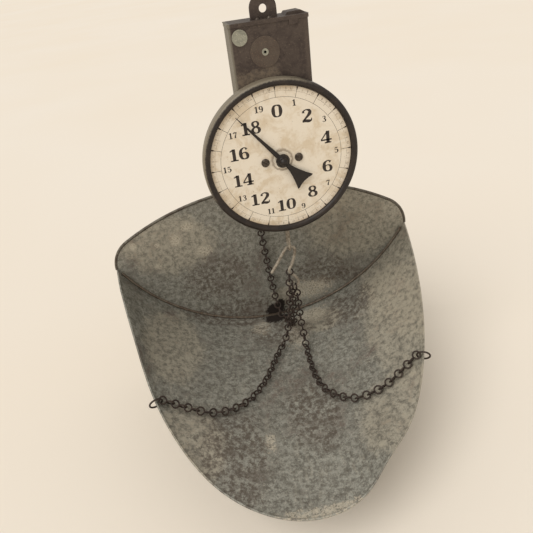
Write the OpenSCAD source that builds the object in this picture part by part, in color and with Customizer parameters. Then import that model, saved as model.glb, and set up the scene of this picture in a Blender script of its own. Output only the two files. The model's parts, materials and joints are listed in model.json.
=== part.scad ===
// Hanging dial scale with a sheet metal scoop on three chains.
// The origin is the centre of the hanging eye. +Z is up, -Y is the dial side, +X is right.

/* [Hanger] */
// Diameter of the hanging eye
eye_d = 7; // [5:0.5:9]
// Height of the eye's centre above the case top
eye_rise = 8; // [7:0.5:11]
// Width of the hanger tab
tab_w = 24; // [20:1:28]
// Thickness of the hanger tab
tab_t = 2.5; // [2:0.1:3]
// Width of the hanger's leg inside the case
leg_w = 15; // [12:1:16]
// Diameter of the cross pin that carries the spring bar
hanger_pin_d = 3; // [2.5:0.1:3.5]
// Diameter of the rivets beside the hanger
rivet_d = 2.4; // [2:0.1:3]

/* [Case] */
// Width of the case
case_w = 71.4; // [66:0.2:76]
// Depth of the case
case_d = 30; // [28:1:34]
// Height of the case
case_h = 192; // [188:1:200]
// How far the case stands to the right of the eye
case_shift = 2; // [0:0.5:4]
// Thickness of the case sheet
sheet_t = 0.8; // [0.6:0.1:1]
// Outer bend radius of the front edges
corner_r = 3; // [2:0.5:5]
// Height of the cap's turned down lip
lip_h = 3.2; // [2:0.2:5]
// Width of the inward flanges at the back
flange_w = 8; // [7:0.5:10]
// Diameter of the back cover's screws
cover_screw_d = 3; // [2.5:0.1:3.5]
// Diameter of the pale seal disc
seal_d = 13.5; // [10:0.5:16]
// Share of the clear front above the dial that the plain cover disc spans
disc_share = 0.56; // [0.45:0.01:0.6]

/* [Dial] */
// Outer diameter of the bezel
bezel_d = 152; // [146:1:158]
// Width of the bezel's rolled front
bezel_roll = 7; // [5:0.5:9]
// Height of the dial's centre above the bottom of the case
dial_rise = 68.5; // [66:0.5:71]
// How far the dial's centre stands to the left of the eye
dial_left = 1; // [0.5:0.1:3]
// Distance of the dial's face ahead of the eye
dial_front = 20; // [19:0.5:22]
// Depth of the dial pan behind the dial's face
pan_depth = 9.5; // [8:0.5:11]
// Thickness of the dial plate
dial_t = 0.5; // [0.4:0.1:0.8]
// Distance between the two dial screws
dial_screw_gap = 33; // [32:0.5:36]
// Diameter of the dial screws
dial_screw_d = 3.2; // [3:0.1:3.5]

/* [Pointer] */
// Length of the pointer from its axis to its tip
pointer_len = 62; // [50:1:66]
// Length of the pointer's tail
tail_len = 32; // [24:1:36]
// Width of the tail's end
tail_w = 20.4; // [14:0.2:24]
// Height of the pointer above the dial's face
pointer_lift = 3; // [2:0.5:4]
// Reading of the pointer at rest, in pounds
reading = 17.82; // [15:0.01:19.9]
// Diameter of the hub
hub_d = 13.6; // [10:0.2:16]

/* [Movement] */
// Travel of the load bar for one turn and a little more
travel = 27.5; // [24:0.5:28]
// Module of the rack and pinion teeth
tooth_m = 0.5; // [0.48:0.01:0.52]
// Number of pinion teeth
tooth_n = 16; // [15:1:17]
// Width of the pinion
pinion_w = 6; // [4:0.5:7]
// Diameter of the pointer arbor
arbor_d = 3; // [2.6:0.1:3.4]
// Thickness of the rack bar
rack_t = 3; // [2.5:0.1:4]
// Width of the rack bar behind its teeth
rack_w = 6.5; // [6:0.1:8]
// Diameter of the draw rod
rod_d = 5; // [4.5:0.1:5.5]
// Radial clearance of the running fits
run_gap = 0.05; // [0.03:0.01:0.08]

/* [Springs] */
// Wire diameter of the two springs
spring_wire = 1.6; // [1.4:0.1:1.8]
// Mean coil diameter
spring_d = 13; // [11:0.5:14]
// Number of coils in each spring
spring_n = 17; // [14:1:19]
// Distance from coil to coil at rest
spring_pitch = 2.1; // [2.05:0.05:2.4]
// Distance between the two spring axes
spring_gap = 39; // [37:1:42]
// Thickness of the two cross bars
bar_t = 3; // [2.5:0.1:4]

/* [Load hook] */
// Wire diameter of the load link
link_wire = 2.8; // [2.4:0.1:3.2]
// Distance between the legs of the load link
link_w = 9.2; // [8.8:0.1:11]
// Length of the load link between its two ends
link_len = 31; // [28:0.5:36]
// Wire diameter of the hook
hook_wire = 3.3; // [2.8:0.1:3.6]
// Gap between the hook and the load link
hook_gap = 0.3; // [0.25:0.05:0.5]

/* [Chain] */
// Mean diameter of a link's two loops
loop_d = 7.4; // [7:0.1:8]
// Wire diameter of the chain
chain_wire = 1.7; // [1.5:0.1:1.8]
// Distance between the wires where a link's two loops cross
link_waist = 0.6; // [0.4:0.1:0.8]
// Play between neighbouring links
chain_play = 0.6; // [0.5:0.05:1]
// Mean diameter of the rings in the scoop's edge
ring_d = 12.6; // [12:0.2:14]
// Wire diameter of those rings
ring_wire = 1.8; // [1.6:0.1:2]

/* [Scoop] */
// Width of the scoop at its back plate
scoop_w = 353; // [340:1:370]
// Depth of the trough at its back plate
scoop_depth = 104.5; // [98:0.5:110]
// Height of the back plate above the trough's corners
back_rise = 77; // [64:1:84]
// Corner radius of the back plate's top
back_corner_r = 39; // [30:1:48]
// Length of the trough from the back plate to the lip
scoop_len = 297; // [280:1:310]
// Outward bulge of the rim seen from the side
rim_bulge = 8.8; // [6:0.2:16]
// Thickness of the trough sheet
scoop_t = 0.6; // [0.5:0.1:0.8]
// Thickness of the back plate
back_t = 1.386; // [1:0.002:1.8]
// Width of the folded hem along the rim
hem_w = 3; // [2.6:0.2:4]
// Thickness of the folded hem along the rim
hem_t = 2.2; // [2:0.1:3]
// Diameter of the wired edge on the back plate
edge_d = 3.2; // [2.6:0.2:4]
// Diameter of the solder bead along the seam
seam_d = 3; // [2:0.2:4]
// Turn of the scoop towards the left
scoop_turn = 4.25; // [0:0.25:8]

/* [Hidden] */
$fn = 48;

// Small gaps: touching faces of one body, and a loose hole round a fastener
seat = 0.05;
loose = 0.2;

// Case
case_top = -eye_rise;
case_low = case_top - case_h;
case_y0 = -dial_front + pan_depth;
case_y1 = case_y0 + case_d;
case_x0 = case_shift - case_w / 2;
case_x1 = case_shift + case_w / 2;
cap_under = case_top - sheet_t;
cover_screw_z = [case_low + 12, case_top - 14];
cover_screw_x = [case_x0 + flange_w / 2, case_x1 - flange_w / 2];
head_h = 1.8;
seal_at = [case_x0 + 8.7, 0, case_top - 11.6];

// Dial and pointer
dial_x = -dial_left;
dial_z = case_low + dial_rise;
dial_y = -dial_front;
bezel_r = bezel_d / 2;
front_clear = case_top - dial_z - bezel_r;
cover_disc_d = disc_share * front_clear;
disc_at = [case_x0 + 29.7, 0, case_top - 0.547 * front_clear];
roll_r = bezel_roll / 2;
aperture_r = bezel_r - bezel_roll;
pan_r = bezel_r - sheet_t - seat;
pan_back = case_y0 - sheet_t - seat;
bush_d = 8;
pointer_t = 0.6;
pointer_y = dial_y - pointer_lift;
rest_turn = reading * 18;

// Movement
pitch_r = tooth_m * tooth_n / 2;
rack_x = dial_x + pitch_r;
tooth_up = 0.9 * tooth_m;
tooth_down = 1.2 * tooth_m;
rack_pitch = PI * tooth_m;
tooth_half = rack_pitch / 4 - 0.04;
flank = tan(20);
rack_root = rack_x + tooth_down;
bridge_y = 7;
bridge_t = 1.6;
post_d = 6;
arbor_back = bridge_y + bridge_t + 1;

// Spring suspension
bar_w = 12;
bar_top = cap_under - seat;
bar_low = bar_top - bar_t;
spring_end = 0.3;
spring_top = bar_low - spring_end - spring_wire / 2;
spring_low = spring_top - spring_n * spring_pitch;
yoke_top = spring_low - spring_wire / 2 - spring_end;
yoke_low = yoke_top - bar_t;
coil_steps = 8;
spigot_r = spring_d / 2 * cos(180 / coil_steps) - spring_wire / 2 - loose;
spigot_h = 4;
lug_w = 2.4;
lug_t = 1.6;
bar_len = spring_gap + spring_d + 2 * spring_wire;
rivet_x = [-6.5, 4.2];
rivet_y = -4.2;

// Rack bar and draw rod
lug_top = dial_z - pitch_r - tooth_m - 2.5;
lug_low = lug_top - 12;
lug_x0 = -rod_d / 2 - 1.5;
teeth_top = dial_z + travel + 5;
t_head = 3;
t_side = 1.2;
guide_top = lug_low - travel - 0.4;
guide_low = case_low - 3;
guide_wall = 2;
link_top = case_low - 10;
rod_low = link_top - link_wire / 2 - 2.4;

// Load link and hook
link_low = link_top - link_len;
link_bend = 2;
hook_x = 0.6;
hook_top = link_low + link_wire / 2 + hook_wire / 2 + hook_gap;

// Chain
loop_r = loop_d / 2;
wire_r = chain_wire / 2;
loop_gap = loop_d + link_waist;
link_step = loop_d + loop_gap - chain_wire - chain_play;

// Scoop: the trough is part of a round tube, the back plate stands at y = 0 of the scoop's own frame
scoop_at = [-21, 59.5, link_low - 21.5];
half_w = scoop_w / 2;
trough_r = (half_w * half_w + scoop_depth * scoop_depth) / (2 * scoop_depth);
trough_z = trough_r - scoop_depth;
rim_chord = norm([scoop_len, scoop_depth]);
rim_r = (rim_chord * rim_chord / 4 + rim_bulge * rim_bulge) / (2 * rim_bulge);
rim_out = [-scoop_depth / rim_chord, scoop_len / rim_chord];
rim_mid = [-scoop_len / 2, -scoop_depth / 2] - (rim_r - rim_bulge) * rim_out;
top_r = ((half_w - back_corner_r) * (half_w - back_corner_r) + back_rise * back_rise
    - back_corner_r * back_corner_r) / (2 * (back_rise - back_corner_r));
top_z = back_rise - top_r;
top_turn = atan2(half_w - back_corner_r, -top_z);
edge_seat = seat / back_corner_r * 180 / PI;
hole_r = 2.4;
ring_r = ring_d / 2;

// A place in the scoop's own frame as a place in the whole object
function in_scoop(p) = [
    scoop_at[0] + p[0] * cos(scoop_turn) + p[1] * sin(scoop_turn),
    scoop_at[1] - p[0] * sin(scoop_turn) + p[1] * cos(scoop_turn),
    scoop_at[2] + p[2]];
// Height of the trough's inner face at a distance x from its middle line
function trough_floor(x) = trough_z - sqrt(pow(trough_r - scoop_t, 2) - x * x);
// A point that lies a height h above the trough's inner face, measured square to it
function on_trough(x, y, h) = [
    x * (1 - h / trough_r), y, trough_z - (trough_z - trough_floor(x)) * (1 - h / trough_r)];
// Distance of the rim from the back plate at the height z
function rim_y(z) = rim_mid[0] - sqrt(rim_r * rim_r - pow(z - rim_mid[1], 2));
function half_at(z) = sqrt(trough_r * trough_r - pow(z - trough_z, 2));
function unit(v) = v / norm(v);

// Rings: one in each side of the rim and one in the top of the back plate
side_ring_z = -54;
ring_in = 0.8;
right_rim = [half_at(side_ring_z), rim_y(side_ring_z), side_ring_z];
left_rim = [-right_rim[0], right_rim[1], right_rim[2]];

// Routes of the chains: free stretches with their height from the load link's low end, laid stretches as
// [x, y] on the trough, ends and the rear chain's way down in the scoop's frame
function hung(p) = [p[0], p[1], link_low + p[2]];
lay_h = loop_r + wire_r + 0.45;
left_free = [[-1.7, 1.9, -27.5], [-5.4, -8.2, -34.5], [-7, -12.6, -46.3], [-8.5, -11, -64],
    [-10.3, -7.5, -84], [-12, -5.5, -97], [-14.4, -6.5, -107], [-18.5, -11, -115.5]];
left_lay = [[-1, -78], [-11, -99], [-20, -119], [-31, -138], [-44, -155], [-57, -166], [-71, -174],
    [-86, -178], [-99, -178], [-110, -177]];
left_end = [-128.1, -176.4, -52.7];
right_free = [[3, 0, -47.2], [3.2, -2.6, -60], [2.8, -6, -77.5], [2.9, -8, -93], [3.4, -13, -106],
    [3, -21, -115]];
right_lay = [[30.2, -86], [30, -104], [30, -122], [31.5, -142], [38, -161], [49, -175.5], [63, -185],
    [79, -188], [93, -187.5], [103, -185.5]];
right_end = [128.1, -176, -52.7];
rear_down = [[-0.8, -3.6, 73.8], [-0.8, -6, 60], [-0.6, -5.8, 32], [0.6, -5.8, 8], [2, -5.8, -14],
    [4.2, -5.8, -44], [5.8, -6.5, -62], [7.4, -9.5, -78], [10, -17, -92]];
rear_free = [[-7, 37, -120], [-3, 26, -120], [-1, 16, -114], [-1.4, 11, -101], [-1.6, 7, -81],
    [-1.4, 5, -67], [-1.2, 0, -47.5]];

left_route = concat([for (p = left_free) hung(p)],
    [for (p = left_lay) in_scoop(on_trough(p[0], p[1], lay_h))], [in_scoop(left_end)]);
right_route = concat([for (p = right_free) hung(p)],
    [for (p = right_lay) in_scoop(on_trough(p[0], p[1], lay_h))], [in_scoop(right_end)]);
rear_route = concat([for (p = rear_down) in_scoop(p)], [for (p = rear_free) hung(p)]);

// Running length of a route up to each of its points, and the point at a length s along it
function leg(route, i) = norm(route[i + 1] - route[i]);
function lengths(route, i = 0, sum = 0) =
    i == len(route) - 1 ? [sum] : concat([sum], lengths(route, i + 1, sum + leg(route, i)));
function leg_at(run, s, i = 0) = i == len(run) - 2 || run[i + 1] > s ? i : leg_at(run, s, i + 1);
function point_at(route, run, s) = let (i = leg_at(run, s), k = (s - run[i]) / (run[i + 1] - run[i]))
    route[i] + k * (route[i + 1] - route[i]);

// Rounded route: four points make a smooth stretch through the middle two
function smooth_point(a, b, c, d, t) = 0.5 * (2 * b + t * (c - a) + t * t * (2 * a - 5 * b + 4 * c - d)
    + t * t * t * (3 * b - a - 3 * c + d));
function smooth(p, n) = concat([for (i = [0 : len(p) - 2]) let (
    a = i == 0 ? 2 * p[0] - p[1] : p[i - 1],
    d = i == len(p) - 2 ? 2 * p[i + 1] - p[i] : p[i + 2])
    each [for (k = [0 : n - 1]) smooth_point(a, p[i], p[i + 1], d, k / n)]], [p[len(p) - 1]]);

// Tube along a list of centres, with one across vector for each centre
function tangent(p, i) = unit(p[min(i + 1, len(p) - 1)] - p[max(i - 1, 0)]);
function ring_points(c, u, v, r, sides) = [for (k = [0 : sides - 1])
    c + r * (cos(k * 360 / sides) * u + sin(k * 360 / sides) * v)];
module tube(p, across, r, sides) {
    n = len(p);
    rings = [for (i = [0 : n - 1]) let (
        t = tangent(p, i),
        u = unit(across[i] - (across[i] * t) * t),
        v = cross(t, u)) ring_points(p[i], u, v, r, sides)];
    walls = [for (i = [0 : n - 2]) for (k = [0 : sides - 1]) let (
        a = i * sides + k,
        b = i * sides + (k + 1) % sides) each [[a, b, a + sides], [b, b + sides, a + sides]]];
    first = [for (k = [1 : sides - 2]) [0, k + 1, k]];
    last = [for (k = [1 : sides - 2]) [(n - 1) * sides, (n - 1) * sides + k, (n - 1) * sides + k + 1]];
    polyhedron(points = [for (ring = rings) each ring], faces = concat(walls, first, last));
}

// The hook's middle line in the X-Z plane: long arm, top bend, waist and lower bend
hook_line = [[-22.5, -25], [-13, -11.5], [-5.6, -0.3], [-2.4, 2.9], [hook_x, hook_top - link_low],
    [4.4, 1.8], [6, -2.5], [4.5, -10], [1, -19.5], [-2.6, -26], [-1.8, -30.5], [3, -35.5],
    [6.3, -42], [5.2, -47.6], [0.8, -49.8], [-3.6, -48], [-5.6, -44]];

// Shapes that repeat
module along_y(y0, y1, r) {
    translate([0, y0, 0]) rotate([-90, 0, 0]) cylinder(r = r, h = y1 - y0);
}
module at_dial() {
    translate([dial_x, 0, dial_z]) children();
}
module at_dial_screws() {
    for (side = [-1, 1]) {
        translate([dial_x + side * dial_screw_gap / 2, 0, dial_z]) children();
    }
}
module at_cover_screws() {
    for (x = cover_screw_x) {
        for (z = cover_screw_z) {
            translate([x, 0, z]) children();
        }
    }
}
module slotted_head(r, h, slot) {
    difference() {
        union() {
            cylinder(r = r, h = h * 0.5);
            translate([0, 0, h * 0.5]) cylinder(r1 = r, r2 = r * 0.72, h = h * 0.5, $fn = 48);
        }
        translate([-r - 1, -slot / 2, h * 0.55]) cube([2 * r + 2, slot, h]);
    }
}
module case_outline(inset) {
    r = max(corner_r - inset, 0.4);
    x0 = case_x0 + inset;
    x1 = case_x1 - inset;
    y0 = case_y0 + inset;
    y1 = case_y1 - inset;
    translate([x0 + r, y0]) square([x1 - x0 - 2 * r, y1 - y0]);
    translate([x0, y0 + r]) square([x1 - x0, y1 - y0 - r]);
    for (x = [x0 + r, x1 - r]) {
        translate([x, y0 + r]) circle(r = r);
    }
}
module spring_spigots(z, up) {
    for (side = [-1, 1]) {
        translate([side * spring_gap / 2, 0, up > 0 ? z : z - spigot_h]) cylinder(r = spigot_r, h = spigot_h);
    }
}

// Stops that the ends of the springs' wire meet square on
module spring_lugs(z, up) {
    for (side = [-1, 1]) {
        translate([side * spring_gap / 2 + spring_d / 2 - lug_w / 2,
            up > 0 ? spring_wire + seat : -spring_wire - seat - lug_t,
            up > 0 ? z : z - spring_end - spring_wire]) cube([lug_w, lug_t, spring_end + spring_wire]);
    }
}

module hanger_plate() {
    color([0.27, 0.23, 0.20]) difference() {
        union() {
            along_y(-tab_t / 2, tab_t / 2, tab_w / 2);
            translate([-tab_w / 2, -tab_t / 2, case_top + seat]) cube([tab_w, tab_t, eye_rise - seat]);
            translate([-leg_w / 2, -tab_t / 2, bar_low - hanger_pin_d - 3])
                cube([leg_w, tab_t, case_top - bar_low + hanger_pin_d + 3 + 1]);
        }
        along_y(-tab_t, tab_t, eye_d / 2);
        translate([-tab_w, -tab_t, case_top + seat - tab_w]) cube([tab_w - leg_w / 2, 2 * tab_t, tab_w]);
        translate([leg_w / 2, -tab_t, case_top + seat - tab_w]) cube([tab_w - leg_w / 2, 2 * tab_t, tab_w]);
        translate([0, 0, bar_low - hanger_pin_d / 2 - seat])
            along_y(-tab_t, tab_t, hanger_pin_d / 2 + run_gap);
    }
}
module hanger_pin() {
    color([0.55, 0.53, 0.50]) translate([0, 0, bar_low - hanger_pin_d / 2 - seat])
        along_y(-bar_w / 2, bar_w / 2, hanger_pin_d / 2);
}
module top_rivets() {
    color([0.35, 0.30, 0.26]) for (x = rivet_x) {
        translate([x, rivet_y, 0]) {
            translate([0, 0, bar_low - seat]) cylinder(d = rivet_d, h = case_top - bar_low + 2 * seat);
            translate([0, 0, case_top + seat])
                cylinder(d1 = rivet_d * 2, d2 = rivet_d * 1.2, h = 1.5, $fn = 48);
            translate([0, 0, bar_low - seat - 1]) cylinder(d = rivet_d * 1.8, h = 1);
        }
    }
}
module case_cap() {
    grow = sheet_t + seat;
    color([0.42, 0.36, 0.31]) difference() {
        union() {
            translate([0, 0, cap_under]) linear_extrude(sheet_t) case_outline(-grow);
            translate([0, 0, case_top - lip_h]) linear_extrude(lip_h - sheet_t) difference() {
                case_outline(-grow);
                case_outline(-seat);
                translate([case_x0 - 5, case_y1 - corner_r]) square([case_w + 10, 10]);
            }
            translate([case_x1 - 18, case_y0 - grow, case_top - 7]) cube([8, sheet_t, 7 - lip_h + 1]);
            translate([case_x1 - 19, case_y1 + grow - 2 * corner_r, case_top]) rotate([90, 0, 0])
                linear_extrude(case_d - 4 * corner_r) polygon([[0, 0], [19, 0], [14, 2.8], [2, 2.4]]);
        }
        translate([-leg_w / 2 - loose, -tab_t / 2 - loose, cap_under - 5]) cube([leg_w + 2 * loose,
            tab_t + 2 * loose, 10]);
        for (x = rivet_x) {
            translate([x, rivet_y, cap_under - 1]) cylinder(r = rivet_d / 2 + run_gap, h = 3);
        }
    }
}
module case_body() {
    color([0.29, 0.25, 0.22]) difference() {
        translate([0, 0, case_low]) linear_extrude(case_h - sheet_t - seat) difference() {
            case_outline(0);
            case_outline(sheet_t);
            translate([case_x0 + flange_w, case_y1 - 2 * sheet_t]) square([case_w - 2 * flange_w, 9]);
        }
        at_dial() along_y(case_y0 - 1, case_y0 + 2, bush_d / 2 + run_gap);
        at_dial_screws() along_y(case_y0 - 1, case_y0 + 2, dial_screw_d / 2 + loose);
        translate(disc_at) along_y(case_y0 - 1, case_y0 + 2, 2 + run_gap);
        at_cover_screws() along_y(case_y1 - 2, case_y1 + 1, cover_screw_d / 2 + run_gap);
    }
}
module case_bottom() {
    inner = sheet_t + seat;
    color([0.27, 0.23, 0.20]) difference() {
        translate([0, 0, case_low]) linear_extrude(6) case_outline(inner);
        translate([0, 0, case_low + sheet_t]) linear_extrude(9) case_outline(inner + sheet_t);
        translate([0, 0, case_low - 1]) cylinder(r = rod_d / 2 + guide_wall + 2 * run_gap, h = 4);
    }
}
module back_cover() {
    color([0.25, 0.22, 0.20]) difference() {
        translate([case_x0, case_y1 + seat, case_low]) cube([case_w, sheet_t, case_h - sheet_t - seat]);
        at_cover_screws() along_y(case_y1 - 1, case_y1 + 3, cover_screw_d / 2 + loose);
    }
}
module cover_screws() {
    color([0.45, 0.42, 0.38]) at_cover_screws() {
        along_y(case_y1 - sheet_t - 1.5, case_y1 + sheet_t + 2 * seat, cover_screw_d / 2);
        translate([0, case_y1 + sheet_t + 2 * seat, 0]) rotate([-90, 0, 0])
            slotted_head(cover_screw_d, head_h, 0.8);
    }
}
module seal_disc() {
    color([0.66, 0.66, 0.58]) translate(seal_at + [0, case_y0 - seat, 0]) rotate([90, 0, 0]) difference() {
        cylinder(d = seal_d, h = 1);
        translate([0, 0, 0.7]) cylinder(d = seal_d - 1.6, h = 1);
    }
}
module cover_disc() {
    color([0.40, 0.34, 0.29]) translate(disc_at + [0, case_y0 - seat, 0]) rotate([90, 0, 0]) difference() {
        cylinder(d = cover_disc_d, h = 0.6);
        translate([0, 0, -1]) cylinder(r = 2 + run_gap, h = 3);
    }
}
module disc_eyelet() {
    color([0.55, 0.50, 0.42]) translate(disc_at + [0, case_y0, 0]) rotate([90, 0, 0]) difference() {
        union() {
            translate([0, 0, -sheet_t - 0.6]) cylinder(r = 2, h = sheet_t + 1.3 + seat);
            translate([0, 0, 0.6 + 2 * seat]) cylinder(r = 3, h = 0.5);
            translate([0, 0, -sheet_t - 0.6]) cylinder(r = 3, h = 0.5);
        }
        translate([0, 0, -3]) cylinder(r = 1.2, h = 6);
    }
}
module dial_pan() {
    color([0.30, 0.26, 0.23]) at_dial() difference() {
        union() {
            along_y(pan_back, pan_back + sheet_t, pan_r);
            difference() {
                along_y(dial_y + 1, pan_back + sheet_t, pan_r);
                along_y(dial_y, pan_back + sheet_t + 1, pan_r - sheet_t);
            }
        }
        along_y(pan_back - 1, pan_back + 2, bush_d / 2 + run_gap);
        for (side = [-1, 1]) {
            translate([side * dial_screw_gap / 2, 0, 0])
                along_y(pan_back - 1, pan_back + 2, dial_screw_d / 2 + loose);
        }
    }
}
module bezel_ring() {
    color([0.16, 0.12, 0.10]) at_dial() rotate([90, 0, 0]) translate([0, 0, dial_front])
        rotate_extrude($fn = 120) {
            translate([bezel_r - roll_r, 0]) difference() {
                circle(r = roll_r);
                circle(r = roll_r - sheet_t);
                translate([-roll_r, -2 * roll_r]) square([2 * roll_r, 2 * roll_r]);
            }
            translate([bezel_r - sheet_t, 2 - pan_depth]) square([sheet_t, pan_depth - 2]);
        }
}
module dial_plate() {
    color([0.91, 0.86, 0.78]) at_dial() difference() {
        along_y(dial_y + seat, dial_y + seat + dial_t, pan_r - sheet_t - seat);
        along_y(dial_y - 1, dial_y + 3, bush_d / 2 + loose);
        for (side = [-1, 1]) {
            translate([side * dial_screw_gap / 2, 0, 0])
                along_y(dial_y - 1, dial_y + 3, dial_screw_d / 2 + loose);
        }
    }
}
module dial_spacers() {
    color([0.55, 0.50, 0.40]) at_dial_screws() difference() {
        along_y(dial_y + dial_t + 2 * seat, pan_back - seat, dial_screw_d / 2 + 2);
        along_y(dial_y, pan_back + 1, dial_screw_d / 2 + loose);
    }
}
module dial_screws() {
    color([0.30, 0.26, 0.22]) at_dial_screws() {
        along_y(dial_y, case_y0 + sheet_t + 8, dial_screw_d / 2);
        translate([0, dial_y, 0]) rotate([90, 35, 0]) slotted_head(4, 2.2, 1);
    }
}
module front_bearing() {
    color([0.65, 0.52, 0.30]) at_dial() difference() {
        union() {
            along_y(dial_y - 1, case_y0 + sheet_t + 2.5, bush_d / 2);
            along_y(case_y0 + sheet_t + seat, case_y0 + sheet_t + 2.5, bush_d / 2 + 2);
        }
        along_y(dial_y - 2, case_y0 + sheet_t + 4, arbor_d / 2 + run_gap);
    }
}
module movement_bridge() {
    strap = dial_screw_gap + post_d + 2;
    color([0.65, 0.52, 0.30]) difference() {
        union() {
            translate([dial_x - strap / 2, bridge_y, dial_z - 5]) cube([strap, bridge_t, 10]);
            at_dial_screws() along_y(case_y0 + sheet_t + seat, bridge_y + 0.5, post_d / 2);
            at_dial() along_y(bridge_y - 1, bridge_y + bridge_t, 4);
        }
        at_dial() along_y(bridge_y - 2, bridge_y + bridge_t + 2, arbor_d / 2 + run_gap);
        at_dial_screws() along_y(case_y0, bridge_y - 2, dial_screw_d / 2 + run_gap);
    }
}
module spring_bar() {
    color([0.40, 0.38, 0.35]) difference() {
        union() {
            translate([-bar_len / 2, -bar_w / 2, bar_low]) cube([bar_len, bar_w, bar_t]);
            spring_spigots(bar_low, -1);
            spring_lugs(bar_low, -1);
        }
        translate([-leg_w / 2 - loose, -tab_t / 2 - loose, bar_low - 1]) cube([leg_w + 2 * loose,
            tab_t + 2 * loose, bar_t + 2]);
        for (x = rivet_x) {
            translate([x, rivet_y, bar_low - 1]) cylinder(r = rivet_d / 2 + run_gap, h = bar_t + 2);
        }
    }
}
module guide_tube() {
    outer = rod_d / 2 + guide_wall;
    color([0.62, 0.50, 0.30]) difference() {
        union() {
            translate([0, 0, guide_low]) cylinder(r = outer, h = guide_top - guide_low);
            translate([0, 0, guide_low]) cylinder(r = outer + 2.5, h = case_low - guide_low - seat);
            translate([0, 0, case_low + sheet_t + seat]) cylinder(r = outer + 2.5, h = 2);
        }
        translate([0, 0, guide_low - 1]) cylinder(r = rod_d / 2 + run_gap, h = guide_top - guide_low + 2);
    }
}

// Spring wire: its middle line, with one wire's length of straight run at each end
function coil_point(i) = let (a = 360 * i / coil_steps)
    [spring_d / 2 * cos(a), spring_d / 2 * sin(a), spring_top - spring_pitch * i / coil_steps];
function coil_run(i) = unit(coil_point(i + 1) - coil_point(i - 1));
coil_count = spring_n * coil_steps;
coil_middle = [for (i = [0 : coil_count]) coil_point(i)];
coil_line = concat([coil_point(0) - spring_wire * coil_run(0)], coil_middle,
    [coil_point(coil_count) + spring_wire * coil_run(coil_count)]);
coil_across = concat([coil_middle[0]], coil_middle, [coil_middle[coil_count]]);
coil_gap = min([for (i = [0 : coil_count - coil_steps]) for (k = [coil_steps - 2 : coil_steps])
    norm(coil_middle[i + k] - coil_middle[i])]) - spring_wire;
echo(least_gap_of_spring_wire = coil_gap);
module spring(side) {
    color([0.50, 0.48, 0.45]) translate([side * spring_gap / 2, 0, 0])
        tube(coil_line, [for (p = coil_across) [p[0], p[1], 0]], spring_wire / 2, 6);
}
module spring_left() {
    spring(-1);
}
module spring_right() {
    spring(1);
}

module pointer_arbor() {
    color([0.70, 0.68, 0.64]) at_dial() along_y(pointer_y - pointer_t - 1.5, arbor_back, arbor_d / 2);
}
module pinion() {
    root_turn = (tooth_half + tooth_down * flank) / pitch_r * 180 / PI;
    side_turn = tooth_half / pitch_r * 180 / PI;
    tip_turn = (tooth_half - tooth_up * flank) / pitch_r * 180 / PI;
    outline = [for (i = [0 : tooth_n - 1]) let (a = i * 360 / tooth_n)
        each [for (q = [[pitch_r - tooth_down, -root_turn], [pitch_r, -side_turn],
            [pitch_r + tooth_up, -tip_turn],
            [pitch_r + tooth_up, tip_turn], [pitch_r, side_turn], [pitch_r - tooth_down, root_turn]])
            [q[0] * cos(a + q[1]), q[0] * sin(a + q[1])]]];
    color([0.68, 0.55, 0.32]) at_dial() rotate([90, 0, 0]) difference() {
        union() {
            translate([0, 0, -pinion_w / 2]) linear_extrude(pinion_w) polygon(outline);
            translate([0, 0, pinion_w / 2]) cylinder(r = arbor_d / 2 + 1, h = 1.5);
        }
        translate([0, 0, -pinion_w]) cylinder(r = arbor_d / 2 + run_gap / 2, h = 3 * pinion_w);
    }
}

// Pointer outline: half widths at distances from the axis, with the tail on the minus side
function tail_half(k) = 2.2 + (tail_w / 2 - 2.2) * pow(k, 1.5);
pointer_side = concat(
    [for (k = [1 : -0.1 : 0]) [tail_half(k), -hub_d / 2 - (tail_len - hub_d / 2) * k]],
    [[2.4, 0], [2.2, hub_d / 2 + 2], [1.5, pointer_len * 0.45], [0.9, pointer_len * 0.75],
        [0.25, pointer_len]]);
pointer_line = concat([for (p = pointer_side) p], [for (i = [len(pointer_side) - 1 : -1 : 0])
    [-pointer_side[i][0], pointer_side[i][1]]], [[-tail_w / 2 + 2, -tail_len - 0.4], [-tail_w / 4, -tail_len + 0.6],
    [0, -tail_len + 1.2], [tail_w / 4, -tail_len + 0.6], [tail_w / 2 - 2, -tail_len - 0.4]]);
module pointer() {
    color([0.13, 0.10, 0.09]) at_dial() rotate([0, rest_turn, 0]) rotate([90, 0, 0]) difference() {
        translate([0, 0, -pointer_y]) linear_extrude(pointer_t) polygon(pointer_line);
        translate([0, 0, -pointer_y - 1]) cylinder(r = arbor_d / 2 + run_gap / 2, h = 4);
    }
}
module pointer_hub() {
    color([0.20, 0.16, 0.14]) at_dial() rotate([90, 0, 0]) translate([0, 0, -pointer_y + pointer_t + seat])
        difference() {
            union() {
                cylinder(d1 = hub_d, d2 = hub_d - 2, h = 2.4, $fn = 64);
                translate([0, 0, 2.4]) cylinder(d1 = hub_d - 4, d2 = hub_d * 0.55, h = 1.6, $fn = 64);
                translate([0, 0, 3]) intersection() {
                    sphere(r = hub_d * 0.3, $fn = 48);
                    cylinder(r = hub_d, h = hub_d);
                }
            }
            translate([0, 0, -1]) cylinder(r = arbor_d / 2 + run_gap / 2, h = 2.8);
        }
}
module spring_yoke() {
    color([0.40, 0.38, 0.35]) difference() {
        union() {
            translate([-bar_len / 2, -bar_w / 2, yoke_low]) cube([bar_len, bar_w, bar_t]);
            spring_spigots(yoke_top, 1);
            spring_lugs(yoke_top, 1);
        }
        translate([rack_root - loose, -rack_t / 2 - loose, yoke_low - 1]) cube([rack_w + 2 * loose,
            rack_t + 2 * loose, bar_t + 2]);
    }
}
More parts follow.
